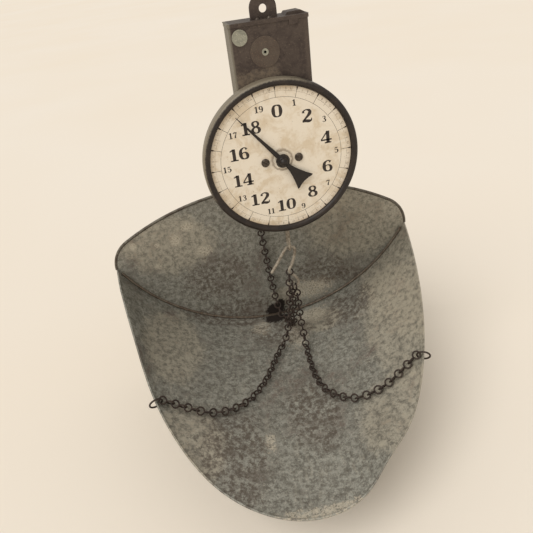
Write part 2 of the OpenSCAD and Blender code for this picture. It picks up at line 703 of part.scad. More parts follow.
module rack_bar() {
    teeth = floor((teeth_top - lug_top) / rack_pitch) - 1;
    // The tooth gap that faces the pinion's middle tooth lies at the dial's centre height
    outline = [for (i = [-3 : teeth - 4]) let (z = dial_z + (i + 0.5) * rack_pitch)
        each [for (q = [[rack_root, -tooth_half - tooth_down * flank],
            [rack_x - tooth_up, -tooth_half + tooth_up * flank],
            [rack_x - tooth_up, tooth_half - tooth_up * flank],
            [rack_root, tooth_half + tooth_down * flank]]) [q[0], z + q[1]]]];
    color([0.52, 0.50, 0.46]) difference() {
        union() {
            rotate([90, 0, 0]) translate([0, 0, -rack_t / 2]) linear_extrude(rack_t) {
                polygon(concat([[rack_root + 1, lug_low + 5]], outline, [[rack_root + 1, yoke_top]]));
                translate([rack_root, lug_low]) square([rack_w, yoke_top - lug_low + 1]);
                translate([lug_x0, lug_low]) square([rack_root + rack_w - lug_x0, lug_top - lug_low]);
                translate([rack_root - t_side, yoke_top + seat]) square([rack_w + 2 * t_side, t_head]);
            }
            translate([0, 0, rod_low]) cylinder(d = rod_d, h = lug_low - rod_low + 4);
        }
        translate([0, 0, link_top]) along_y(-rod_d, rod_d, link_wire / 2 + 0.1);
    }
}
module load_link() {
    r = link_wire / 2;
    half = link_w / 2;
    color([0.62, 0.60, 0.55]) union() {
        translate([0, 0, link_top]) along_y(link_bend - half, half - link_bend, r);
        for (side = [-1, 1]) {
            translate([0, side * half, link_low + half]) cylinder(r = r, h = link_len - half - link_bend);
            translate([0, side * (half - link_bend), link_top - link_bend]) rotate([90, 0, 90])
                rotate([0, 0, side > 0 ? 0 : 90]) rotate_extrude(angle = 90)
                translate([link_bend, 0]) circle(r = r);
        }
        translate([0, 0, link_low + half]) rotate([90, 0, 90]) rotate([0, 0, 180]) rotate_extrude(angle = 180)
            translate([half, 0]) circle(r = r);
    }
}
module s_hook() {
    line = smooth([for (p = hook_line) hung([p[0], 0, p[1]])], 3);
    color([0.60, 0.57, 0.52]) tube(line, [for (p = line) [0, 1, 0]], hook_wire / 2, 10);
}

// One link: two loops square to each other, joined at the waist
module chain_link() {
    rotate_extrude() translate([loop_r, 0]) circle(r = wire_r, $fn = 24);
    translate([loop_gap, 0, 0]) rotate([90, 0, 0]) rotate_extrude() translate([loop_r, 0])
        circle(r = wire_r, $fn = 24);
}
// Links at equal steps along a route; lead is the level direction in which the hanging stretch turns,
// and the links roll evenly from the angle at the route's start to the angle at its end
module chain(route, lead, roll_start, roll_end) {
    run = lengths(route);
    count = ceil(run[len(run) - 1] / link_step);
    step = run[len(run) - 1] / count;
    for (i = [0 : count - 1]) {
        a = point_at(route, run, i * step);
        b = point_at(route, run, (i + 1) * step);
        t = unit(b - a);
        side = unit(cross(t, sqrt(1 - t[2] * t[2]) * [0, 0, 1] - t[2] * lead));
        n = cross(side, t);
        turn = roll_start + (roll_end - roll_start) * i / (count - 1);
        u = cos(turn) * n + sin(turn) * side;
        v = cross(t, u);
        start = (a + b) / 2 - loop_gap / 2 * t;
        multmatrix([[t[0], u[0], v[0], start[0]], [t[1], u[1], v[1], start[1]], [t[2], u[2], v[2], start[2]],
            [0, 0, 0, 1]]) chain_link();
    }
}
module chain_left() {
    color([0.23, 0.18, 0.15]) chain(left_route, unit([-0.35, -0.94, 0]), 90, 115);
}
module chain_right() {
    color([0.23, 0.18, 0.15]) chain(right_route, unit([1, -1, 0]), 45, 55);
}
module chain_rear() {
    color([0.23, 0.18, 0.15]) chain(rear_route, [0, -1, 0], 90, 90);
}

// Places things in the scoop's own frame
module in_scoop_frame() {
    translate(scoop_at) rotate([0, 0, -scoop_turn]) children();
}
// Round bar across the whole scoop, centred on the rim's arc
module rim_cylinder(r) {
    translate([-scoop_w, rim_mid[0], rim_mid[1]]) rotate([0, 90, 0])
        cylinder(r = r, h = 2 * scoop_w, $fn = 720);
}
module trough_shell(outer, inner, y0, y1) {
    translate([0, 0, trough_z]) difference() {
        along_y(y0, y1, outer);
        along_y(y0 - 1, y1 + 1, inner);
        translate([-scoop_w, y0 - 2, -trough_z]) cube([2 * scoop_w, y1 - y0 + 4, trough_r * 2]);
    }
}
// Rusted break of the solder bead at the foot of the back plate
module bead_break() {
    translate([0, 0, -scoop_depth - 5]) linear_extrude(12)
        polygon([[-13, -1.5], [20, -1.5], [17, -14], [6, -17], [-9, -12]]);
}
module side_ring(p) {
    // Across the sheet and down the sheet from the rim
    out = unit([p[0], 0, p[2] - trough_z]);
    down = unit([0, rim_mid[0] - p[1], rim_mid[1] - p[2]]);
    along = unit(down - (down * out) * out);
    n = cross(out, along);
    c = p - scoop_t / 2 * out + ring_in * along;
    multmatrix([[out[0], along[0], n[0], c[0]], [out[1], along[1], n[1], c[1]],
        [out[2], along[2], n[2], c[2]], [0, 0, 0, 1]]) rotate_extrude($fn = 32) translate([ring_r, 0]) circle(r = ring_wire / 2, $fn = 16);
}
module side_hole(p) {
    out = unit([p[0], 0, p[2] - trough_z]);
    down = unit([0, rim_mid[0] - p[1], rim_mid[1] - p[2]]);
    along = unit(down - (down * out) * out);
    n = cross(out, along);
    c = p + (ring_r + ring_in) * along;
    multmatrix([[n[0], along[0], out[0], c[0]], [n[1], along[1], out[1], c[1]],
        [n[2], along[2], out[2], c[2]], [0, 0, 0, 1]]) translate([0, 0, -5]) cylinder(r = hole_r, h = 10);
}
module rim_rings() {
    color([0.26, 0.21, 0.18]) in_scoop_frame() {
        side_ring(left_rim);
        side_ring(right_rim);
        translate([0, back_t / 2, back_rise - ring_in]) rotate([0, 90, 0])
            rotate_extrude($fn = 32) translate([ring_r, 0]) circle(r = ring_wire / 2, $fn = 16);
    }
}
module scoop_trough() {
    color([0.50, 0.49, 0.45]) in_scoop_frame() difference() {
        intersection() {
            trough_shell(trough_r, trough_r - scoop_t, -scoop_len - 1, -seat);
            rim_cylinder(rim_r - hem_w - seat);
        }
        side_hole(left_rim);
        side_hole(right_rim);
    }
}
module back_outline(inset) {
    flat_r = top_r - inset;
    side_r = back_corner_r - inset;
    reach = (half_w - back_corner_r) + side_r * sin(top_turn);
    intersection() {
        translate([0, top_z]) circle(r = flat_r, $fn = 240);
        translate([-reach, 0]) square([2 * reach, back_rise]);
    }
    for (side = [-1, 1]) {
        intersection() {
            translate([side * (half_w - back_corner_r), 0]) circle(r = side_r, $fn = 96);
            translate([-scoop_w, 0]) square([2 * scoop_w, back_rise]);
        }
    }
    intersection() {
        translate([0, trough_z]) circle(r = trough_r, $fn = 240);
        translate([-scoop_w, -scoop_w]) square([2 * scoop_w, scoop_w]);
    }
}
module scoop_back() {
    color([0.49, 0.48, 0.44]) in_scoop_frame() difference() {
        rotate([90, 0, 0]) translate([0, 0, -back_t]) linear_extrude(back_t) back_outline(edge_d / 2 + seat);
        translate([0, 0, back_rise - ring_in - ring_r]) along_y(-1, back_t + 1, hole_r);
    }
}
module rim_hem() {
    mid_r = trough_r - scoop_t / 2;
    color([0.45, 0.44, 0.40]) in_scoop_frame() intersection() {
        trough_shell(mid_r + hem_t / 2, mid_r - hem_t / 2, -scoop_len - 1, -seat);
        difference() {
            rim_cylinder(rim_r);
            rim_cylinder(rim_r - hem_w);
        }
    }
}
module back_edge_wire() {
    color([0.45, 0.44, 0.40]) in_scoop_frame() translate([0, back_t / 2, 0]) rotate([90, 0, 0]) {
        translate([0, top_z, 0]) rotate([0, 0, 90 - top_turn]) rotate_extrude(angle = 2 * top_turn, $fn = 240)
            translate([top_r, 0]) circle(d = edge_d, $fn = 16);
        for (side = [0, 1]) {
            mirror([side, 0, 0]) translate([half_w - back_corner_r, 0, 0])
                rotate_extrude(angle = 90 - top_turn - edge_seat, $fn = 96) translate([back_corner_r, 0])
                circle(d = edge_d, $fn = 16);
        }
    }
}
module seam_bead() {
    reach = acos(trough_z / trough_r) - 2;
    r = seam_d / 2;
    color([0.55, 0.52, 0.46]) in_scoop_frame() difference() {
        translate([0, -r - 2 * seat, trough_z]) rotate([90, 0, 0]) rotate([0, 0, 270 - reach])
            rotate_extrude(angle = 2 * reach, $fn = 240) translate([trough_r - scoop_t - r - seat, 0])
            circle(r = r, $fn = 16);
        bead_break();
    }
}

hanger_plate();
hanger_pin();
top_rivets();
case_cap();
case_body();
case_bottom();
back_cover();
cover_screws();
seal_disc();
cover_disc();
disc_eyelet();
dial_pan();
bezel_ring();
dial_plate();
dial_spacers();
dial_screws();
front_bearing();
movement_bridge();
spring_bar();
guide_tube();
spring_left();
spring_right();
pointer_arbor();
pinion();
pointer();
pointer_hub();
spring_yoke();
rack_bar();
load_link();
s_hook();
chain_left();
chain_right();
chain_rear();
rim_rings();
scoop_trough();
scoop_back();
rim_hem();
back_edge_wire();
seam_bead();
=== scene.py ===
import json

import bpy
import numpy as np
from mathutils import Matrix, Vector


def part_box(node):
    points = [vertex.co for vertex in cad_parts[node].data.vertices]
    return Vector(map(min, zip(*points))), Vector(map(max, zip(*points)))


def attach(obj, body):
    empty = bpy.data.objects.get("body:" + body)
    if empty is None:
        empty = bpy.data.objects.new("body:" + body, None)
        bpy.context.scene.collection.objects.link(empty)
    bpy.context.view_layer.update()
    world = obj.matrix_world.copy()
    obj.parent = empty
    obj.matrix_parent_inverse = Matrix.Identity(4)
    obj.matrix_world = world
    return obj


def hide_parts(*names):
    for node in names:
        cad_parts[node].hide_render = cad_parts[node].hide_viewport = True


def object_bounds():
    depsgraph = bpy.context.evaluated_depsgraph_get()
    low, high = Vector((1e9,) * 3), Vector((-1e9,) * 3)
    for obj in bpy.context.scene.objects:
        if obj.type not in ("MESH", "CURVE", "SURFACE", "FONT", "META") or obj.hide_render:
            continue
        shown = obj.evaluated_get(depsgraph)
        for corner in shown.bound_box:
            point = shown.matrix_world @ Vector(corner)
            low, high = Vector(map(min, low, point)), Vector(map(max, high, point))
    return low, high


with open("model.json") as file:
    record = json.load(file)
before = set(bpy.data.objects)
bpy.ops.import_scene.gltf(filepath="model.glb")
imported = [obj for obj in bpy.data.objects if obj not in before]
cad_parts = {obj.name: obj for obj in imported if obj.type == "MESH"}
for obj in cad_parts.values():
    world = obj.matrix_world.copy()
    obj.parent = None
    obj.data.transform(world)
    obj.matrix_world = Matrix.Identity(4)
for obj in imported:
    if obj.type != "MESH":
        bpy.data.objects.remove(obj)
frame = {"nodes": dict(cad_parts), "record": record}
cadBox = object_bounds()
scene = bpy.context.scene
scene.view_settings.view_transform = "Standard"


# Camera: its place and directions in the part's frame
view = {
    "place": (-0.0942, -0.5042, 0.0438),
    "right": (0.9734, -0.1990, -0.1183),
    "up": (0.2023, 0.4820, 0.8526),
    "back": (-0.1127, -0.8540, 0.5090),
    "lens": 36.0,
    "sensor": 36.0,
}


def addCamera(settings):
    data = bpy.data.cameras.new("camera")
    data.lens = settings["lens"]
    data.sensor_width = settings["sensor"]
    data.clip_start = 0.01
    camera = bpy.data.objects.new("camera", data)
    scene.collection.objects.link(camera)
    turn = Matrix([settings["right"], settings["up"], settings["back"]]).transposed()
    camera.matrix_world = Matrix.Translation(settings["place"]) @ turn.to_4x4()
    scene.camera = camera


addCamera(view)
print("stage: camera")


# Colours are written as they look, and turned linear for the shader
def tint(code):
    value = np.array([int(code[i:i + 2], 16) for i in (0, 2, 4)]) / 255.0
    line = np.where(value <= 0.04045, value / 12.92, ((value + 0.055) / 1.055) ** 2.4)
    return (*line.tolist(), 1.0)


class Finish:
    # A node material. Each pattern reads Object coordinates, moved into the frame of the piece
    # that it follows
    def __init__(self, name, place=(0, 0, 0), turn=0.0, **sockets):
        self.material = bpy.data.materials.new(name)
        self.material.use_nodes = True
        self.tree = self.material.node_tree
        self.tree.nodes.clear()
        output = self.add("ShaderNodeOutputMaterial")
        self.shader = self.add("ShaderNodeBsdfPrincipled")
        self.tree.links.new(self.shader.outputs[0], output.inputs[0])
        for socket, value in sockets.items():
            self.shader.inputs[socket.replace("_", " ")].default_value = value
        mapping = self.add("ShaderNodeMapping", vector_type="TEXTURE")
        mapping.inputs["Location"].default_value = place
        mapping.inputs["Rotation"].default_value = (0, 0, turn)
        self.tree.links.new(self.add("ShaderNodeTexCoord").outputs["Object"], mapping.inputs["Vector"])
        self.where = mapping.outputs[0]

    def add(self, kind, **settings):
        node = self.tree.nodes.new(kind)
        for key, value in settings.items():
            setattr(node, key, value)
        return node

    def put(self, socket, value):
        if isinstance(value, bpy.types.NodeSocket):
            self.tree.links.new(value, socket)
        else:
            socket.default_value = value

    def stretched(self, scale):
        node = self.add("ShaderNodeVectorMath", operation="MULTIPLY")
        self.put(node.inputs[0], self.where)
        node.inputs[1].default_value = scale
        return node.outputs[0]

    def noise(self, size, detail=5.0, rough=0.6, warp=0.0, along=(1, 1, 1)):
        # size is the width of a blotch in millimetres
        node = self.add("ShaderNodeTexNoise")
        self.put(node.inputs["Vector"], self.stretched(along))
        node.inputs["Scale"].default_value = 1000.0 / size
        node.inputs["Detail"].default_value = detail
        node.inputs["Roughness"].default_value = rough
        node.inputs["Distortion"].default_value = warp
        return node.outputs["Fac"]

    def step(self, value, low, high):
        # Runs smoothly from 0 at low to 1 at high
        node = self.add("ShaderNodeMapRange", interpolation_type="SMOOTHSTEP")
        self.put(node.inputs["Value"], value)
        node.inputs["From Min"].default_value = low
        node.inputs["From Max"].default_value = high
        return node.outputs["Result"]

    def math(self, operation, a, b=0.0):
        node = self.add("ShaderNodeMath", operation=operation)
        self.put(node.inputs[0], a)
        self.put(node.inputs[1], b)
        return node.outputs[0]

    def times(self, *values):
        result = values[0]
        for value in values[1:]:
            result = self.math("MULTIPLY", result, value)
        return result

    def plus(self, a, b, share=1.0):
        return self.math("ADD", a, self.math("MULTIPLY", b, share))

    def axis(self, name):
        node = self.add("ShaderNodeSeparateXYZ")
        self.put(node.inputs[0], self.where)
        return node.outputs[name]

    def far(self, centre, stretch=(1, 1, 1)):
        # Distance in metres from a point, with each direction scaled
        shift = self.add("ShaderNodeVectorMath", operation="SUBTRACT")
        self.put(shift.inputs[0], self.where)
        shift.inputs[1].default_value = centre
        scaled = self.add("ShaderNodeVectorMath", operation="MULTIPLY")
        self.put(scaled.inputs[0], shift.outputs[0])
        scaled.inputs[1].default_value = stretch
        length = self.add("ShaderNodeVectorMath", operation="LENGTH")
        self.put(length.inputs[0], scaled.outputs[0])
        return length.outputs["Value"]

    def patch(self, centre, radius, ragged, grain, stretch=(1, 1, 1)):
        # 1 inside a spot with a ragged border, 0 outside
        distance = self.plus(self.far(centre, stretch), self.math("SUBTRACT", grain, 0.5), radius * ragged)
        return self.math("SUBTRACT", 1.0, self.step(distance, radius * 0.75, radius * 1.1))

    def blend(self, share, a, b):
        node = self.add("ShaderNodeMix", data_type="RGBA")
        self.put(node.inputs[0], share)
        self.put(node.inputs[6], a)
        self.put(node.inputs[7], b)
        return node.outputs[2]

    def colour(self, value):
        self.put(self.shader.inputs["Base Color"], value)

    def gloss(self, share, low, high):
        node = self.add("ShaderNodeMapRange")
        self.put(node.inputs["Value"], share)
        node.inputs["To Min"].default_value = low
        node.inputs["To Max"].default_value = high
        self.put(self.shader.inputs["Roughness"], node.outputs["Result"])

    def bump(self, height, depth, strength=0.6):
        # depth is in millimetres
        node = self.add("ShaderNodeBump")
        node.inputs["Strength"].default_value = strength
        node.inputs["Distance"].default_value = depth / 1000.0
        self.put(node.inputs["Height"], height)
        self.put(self.shader.inputs["Normal"], node.outputs[0])


def wornSurface(name, s):
    # Base colour with blotches of a second one, specks of a third and a fine grain in the bump
    f = Finish(name, Metallic=s["metal"])
    cloud = f.noise(s["cloud"], detail=6, rough=0.65, warp=0.4)
    grain = f.noise(s["grain"], detail=4, rough=0.6)
    fine = f.noise(s["grain"] * 0.35, detail=3)
    colour = f.blend(f.step(cloud, 0.42, 0.62), tint(s["base"]), tint(s["blotch"]))
    colour = f.blend(f.times(f.step(grain, 0.56, 0.7), s["specks"]), colour, tint(s["speck"]))
    colour = f.blend(f.times(f.step(fine, 0.6, 0.42), 0.35), colour, tint(s["dark"]))
    f.colour(colour)
    f.gloss(cloud, *s["rough"])
    f.bump(f.plus(grain, fine, 0.5), s["depth"])
    return f.material


# Scoop: its own frame, and the sizes that its pieces share
trough = {
    "place": (-0.021, 0.0595, -0.2625),
    "turn": -4.25,
    "width": 0.353,
    "depth": 0.1045,
    "length": 0.297,
    "bulge": 0.0088,
    "sheet": 0.0006,
    "hem": 0.003,
}


# The near-black last tint is painted shade, standing for the dark inside of a rust hole at the seam's foot
sheetTints = {
    "streak": "a39e90", "brown": "62544a", "fleck": "bdb6a7", "pit": "4e4239",
    "pale": "b3a995", "crust": "c4baa7", "stain": "54483e", "holeShade": "1f150e",
}


def scoopMetal(name, tone):
    # Old tinned sheet: grey green with fine brown mottling, pale crusts and streaks that follow the trough,
    # pale patches that are painted light on the right side, and a near-black patch of painted shade at the
    # seam's foot
    f = Finish(name, trough["place"], np.radians(trough["turn"]), Metallic=0.15)
    wide = f.noise(60, detail=3, rough=0.55, warp=0.4)
    cloud = f.noise(17, detail=7, rough=0.72, warp=0.3)
    mottle = f.noise(5.5, detail=8, rough=0.78)
    speckle = f.noise(1.9, detail=5, rough=0.7)
    streak = f.noise(4.5, detail=6, rough=0.65, along=(1, 0.22, 0.6))
    colour = f.blend(f.step(mottle, 0.41, 0.6), tint(tone["dim"]), tint(tone["bright"]))
    colour = f.blend(f.times(f.step(streak, 0.52, 0.68), 0.4), colour, tint(sheetTints["streak"]))
    brown = f.step(f.plus(f.plus(mottle, cloud, 0.9), wide, 0.7), 1.32, 1.58)
    colour = f.blend(f.times(brown, 0.8), colour, tint(sheetTints["brown"]))
    colour = f.blend(f.times(f.step(speckle, 0.56, 0.66), 0.5), colour, tint(sheetTints["fleck"]))
    colour = f.blend(f.times(f.step(speckle, 0.44, 0.34), 0.65), colour, tint(sheetTints["pit"]))
    # Pale patches: the broad ones along the right wall of the trough and on the right of the plate are
    # painted light, where that side catches the light; the smaller ones are pale spots in the tin
    for centre, radius, stretch in tone["pale"]:
        mask = f.patch(centre, radius, 1.2, cloud, stretch)
        colour = f.blend(f.times(mask, f.step(mottle, 0.3, 0.7), 0.7), colour, tint(sheetTints["pale"]))
    for centre, radius, stretch in tone["crusts"]:
        mask = f.times(f.patch(centre, radius, 4.5, mottle, stretch), f.step(speckle, 0.38, 0.56))
        colour = f.blend(f.times(mask, 0.75), colour, tint(sheetTints["crust"]))
    for centre, radius, stretch in tone["stains"]:
        mask = f.times(f.patch(centre, radius, 1.8, cloud, stretch), f.step(mottle, 0.62, 0.4))
        colour = f.blend(f.times(mask, 0.7), colour, tint(sheetTints["stain"]))
    # Painted shade: a near-black ragged patch at the foot of the seam, in place of the deep shade seen
    # through a rust hole there
    for centre, radius, stretch in tone["holeShade"]:
        mask = f.patch(centre, radius, 1.6, mottle, stretch)
        colour = f.blend(mask, colour, tint(sheetTints["holeShade"]))
        brown = f.math("MAXIMUM", brown, mask)
    f.colour(colour)
    f.gloss(brown, 0.5, 0.85)
    f.bump(f.plus(f.plus(mottle, speckle, 0.45), cloud, 0.9), 0.3, 0.5)
    return f.material


troughTone = {
    "dim": "67645b", "bright": "99988e",
    # the broad patches on the right wall are painted light
    "pale": [
        ((0.135, -0.120, -0.052), 0.055, (1.1, 0.55, 0.8)),
        ((0.095, -0.225, -0.080), 0.045, (1, 0.8, 1)),
        ((-0.103, -0.215, -0.076), 0.035, (1, 0.7, 1)),
        ((0.060, -0.040, -0.097), 0.022, (0.8, 1, 1)),
        ((0.150, -0.050, -0.030), 0.060, (1.2, 0.5, 0.8)),
        ((-0.120, -0.080, -0.062), 0.040, (1, 0.6, 1)),
    ],
    "crusts": [
        ((0.049, -0.022, -0.099), 0.013, (0.6, 1, 1)),
        ((-0.016, -0.026, -0.103), 0.012, (1, 0.8, 1)),
        ((0.024, -0.052, -0.102), 0.014, (1, 0.6, 1)),
        ((0.010, -0.291, -0.104), 0.014, (0.32, 2.4, 1)),
        ((-0.030, -0.210, -0.100), 0.006, (1, 0.5, 1)),
    ],
    "stains": [
        ((0.092, -0.042, -0.080), 0.030, (0.7, 1, 1)),
        ((0.008, -0.040, -0.103), 0.026, (0.6, 1, 1)),
        ((-0.066, -0.222, -0.094), 0.036, (1, 0.6, 1)),
        ((-0.062, -0.006, -0.096), 0.030, (0.4, 2, 1)),
        ((0.020, -0.180, -0.103), 0.030, (1, 0.6, 1)),
    ],
    # painted shade of the rust hole at the seam's foot
    "holeShade": [
        ((0.004, -0.008, -0.104), 0.0125, (0.72, 1.25, 1)),
    ],
}
plateTone = {
    "dim": "6b685e", "bright": "9c9a90",
    # the patches on the right are painted light
    "pale": [
        ((0.120, 0, 0.022), 0.060, (0.8, 1, 1)),
        ((0.075, 0, 0.055), 0.030, (0.8, 1, 1)),
        ((-0.110, 0, 0.020), 0.040, (0.7, 1, 1)),
        ((0.020, 0, -0.075), 0.012, (0.6, 1, 1)),
    ],
    "crusts": [
        ((0.050, 0, -0.073), 0.014, (0.5, 1, 1)),
        ((0.071, 0, -0.066), 0.009, (0.6, 1, 1)),
        ((-0.084, 0, 0.041), 0.006, (0.8, 1, 1)),
        ((-0.101, 0, 0.027), 0.007, (1, 1, 0.8)),
        ((-0.123, 0, 0.023), 0.003, (1, 1, 1)),
        ((-0.151, 0, 0.027), 0.004, (1, 1, 0.7)),
        ((-0.128, 0, -0.005), 0.004, (1, 1, 1)),
        ((-0.070, 0, 0.006), 0.007, (0.7, 1, 1)),
    ],
    "stains": [
        ((-0.060, 0, -0.034), 0.034, (0.8, 1, 1)),
        ((0.070, 0, -0.048), 0.020, (0.6, 1, 1)),
        ((-0.040, 0, -0.088), 0.026, (0.35, 1, 1.6)),
        ((0.100, 0, -0.060), 0.014, (0.5, 1, 1.3)),
    ],
    # painted shade of the rust hole at the seam's foot
    "holeShade": [
        ((0.006, 0, -0.098), 0.0120, (0.9, 1, 0.9)),
        ((0.013, 0, -0.088), 0.0050, (1, 1, 0.6)),
    ],
}


enamel = {
    "base": "4b3f37", "blotch": "3a2e28", "pale": "5d5046", "dark": "281d18", "fleck": "93826c",
    # the left side and right bend tints are painted light
    "wornDim": "5a4f45", "wornBright": "756757", "leftSideLight": "7d7768", "rightBendHighlight": "61544a",
    "wornIn": 0.020, "wornHeight": -0.066, "wornRadius": 0.021,
    "leftFrom": 0.0022, "leftTo": 0.0006, "rightFrom": 0.0065, "rightTo": 0.003,
}


def caseEnamel(name, s):
    # Dark brown enamel, rubbed through to dull metal in a ragged patch above the dial; the left side is
    # painted lighter where the light falls from the left, and a painted highlight runs along the rounded
    # right bend
    f = Finish(name, Metallic=0.1)
    low, high = [Vector(corner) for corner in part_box("case_body")]
    cloud = f.noise(14, detail=6, rough=0.7, warp=0.5)
    mottle = f.noise(3.4, detail=6, rough=0.7)
    speckle = f.noise(1.1, detail=4)
    colour = f.blend(f.step(cloud, 0.4, 0.62), tint(s["base"]), tint(s["blotch"]))
    colour = f.blend(f.times(f.step(mottle, 0.5, 0.68), 0.55), colour, tint(s["pale"]))
    colour = f.blend(f.times(f.step(mottle, 0.42, 0.34), 0.6), colour, tint(s["dark"]))
    spot = (low.x + s["wornIn"], low.y, s["wornHeight"])
    worn = f.patch(spot, s["wornRadius"], 1.5, cloud, (0.75, 0.2, 1))
    bare = f.blend(f.step(mottle, 0.4, 0.6), tint(s["wornDim"]), tint(s["wornBright"]))
    colour = f.blend(f.times(worn, 0.9), colour, bare)
    # Painted light: the left side is lighter where the light falls on it
    left = f.step(f.axis("X"), low.x + s["leftFrom"], low.x + s["leftTo"])
    colour = f.blend(f.times(left, 0.7), colour, tint(s["leftSideLight"]))
    # Painted highlight along the rounded right bend, broken up by the cloud noise
    right = f.step(f.axis("X"), high.x - s["rightFrom"], high.x - s["rightTo"])
    right = f.times(right, f.step(cloud, 0.35, 0.6))
    colour = f.blend(f.times(right, 0.5), colour, tint(s["rightBendHighlight"]))
    colour = f.blend(f.times(f.step(speckle, 0.64, 0.72), 0.6), colour, tint(s["fleck"]))
    f.colour(colour)
    f.gloss(f.plus(mottle, worn, 0.4), 0.42, 0.66)
    f.bump(f.plus(f.plus(mottle, speckle, 0.35), worn, -0.8), 0.25)
    return f.material


dial = {"centre": (-0.001, -0.1315), "ring": 0.0592, "middle": 0.0647, "rim": 0.0690}
dialPlace = (dial["centre"][0], 0.0, dial["centre"][1])


bezel = {
    # the pale edge colour is a painted highlight
    "base": "1f1713", "blotch": "2c221c", "speck": "594a3d", "paintedHighlight": "8f8573", "depth": 0.12,
    "edgeFrom": 0.0735, "edgeTo": 0.0752, "leanFrom": 0.02, "leanTo": 0.07,
}


def bezelEnamel(name, s):
    # Nearly black enamel, with a painted highlight along the outer edge at the upper left, where the light
    # falls
    f = Finish(name, dialPlace, Metallic=0.1)
    cloud = f.noise(11, detail=6, rough=0.65, warp=0.4)
    grain = f.noise(1.5, detail=5, rough=0.7)
    colour = f.blend(f.step(cloud, 0.42, 0.62), tint(s["base"]), tint(s["blotch"]))
    colour = f.blend(f.times(f.step(grain, 0.58, 0.7), 0.5), colour, tint(s["speck"]))
    fromHub = f.far((0, 0, 0), (1, 0, 1))
    edge = f.step(f.plus(fromHub, f.math("SUBTRACT", grain, 0.5), 0.003), s["edgeFrom"], s["edgeTo"])
    lean = f.math("SUBTRACT", f.axis("Z"), f.axis("X"))
    side = f.plus(lean, f.math("SUBTRACT", cloud, 0.5), 0.06)
    # Painted highlight on the outer edge at the upper left
    paintedHighlight = f.times(edge, f.step(side, s["leanFrom"], s["leanTo"]))
    colour = f.blend(f.times(paintedHighlight, 0.8), colour, tint(s["paintedHighlight"]))
    f.colour(colour)
    f.gloss(cloud, 0.36, 0.58)
    f.bump(f.plus(grain, cloud, 0.5), s["depth"])
    return f.material


cream = {
    "base": "ede2d0", "cloud": "dccbb1", "spot": "cbb89c",
    "ring": "8d7c69", "rim": "b79f80", "fleck": "5c4937",
    "ringIn": (0.0078, 0.0095), "ringOut": (0.0118, 0.0098), "rimFade": (0.0635, 0.0705),
}


def dialEnamel(name, s):
    # Cream enamel with faint brown clouds, small flecks, a dirty ring where the hub has rubbed, and painted
    # shade that browns the cream towards the rim under the bezel
    f = Finish(name, dialPlace, Specular_IOR_Level=0.35)
    cloud = f.noise(20, detail=6, rough=0.65, warp=0.6)
    mottle = f.noise(4.5, detail=5)
    fleck = f.noise(1.3, detail=3)
    fromHub = f.far((0, 0, 0), (1, 0, 1))
    ragged = f.plus(fromHub, f.math("SUBTRACT", mottle, 0.5), 0.006)
    colour = f.blend(f.step(f.plus(cloud, mottle, 0.3), 0.58, 0.82), tint(s["base"]), tint(s["cloud"]))
    colour = f.blend(f.times(f.step(mottle, 0.6, 0.72), 0.4), colour, tint(s["spot"]))
    ring = f.times(f.step(ragged, *s["ringIn"]), f.step(ragged, *s["ringOut"]))
    colour = f.blend(f.times(ring, 0.75), colour, tint(s["ring"]))
    # Painted shade: the cream darkens and browns towards the rim, under the bezel's lip
    rim = f.step(f.plus(fromHub, f.math("SUBTRACT", cloud, 0.5), 0.008), *s["rimFade"])
    colour = f.blend(f.times(rim, 0.45), colour, tint(s["rim"]))
    colour = f.blend(f.times(f.step(fleck, 0.71, 0.75), 0.8), colour, tint(s["fleck"]))
    f.colour(colour)
    f.gloss(mottle, 0.38, 0.55)
    f.bump(mottle, 0.05, 0.3)
    return f.material


def dialInk(name, dark, worn, fade):
    # Printed ink that has rubbed thin in clouds: fade is where the cream starts to show
    f = Finish(name, dialPlace)
    cloud = f.noise(9, detail=7, rough=0.7, warp=0.7)
    grain = f.noise(0.8, detail=4, rough=0.7)
    share = f.step(f.plus(cloud, grain, 0.6), fade, fade + 0.22)
    f.colour(f.blend(share, tint(dark), tint(worn)))
    f.gloss(cloud, 0.5, 0.65)
    return f.material


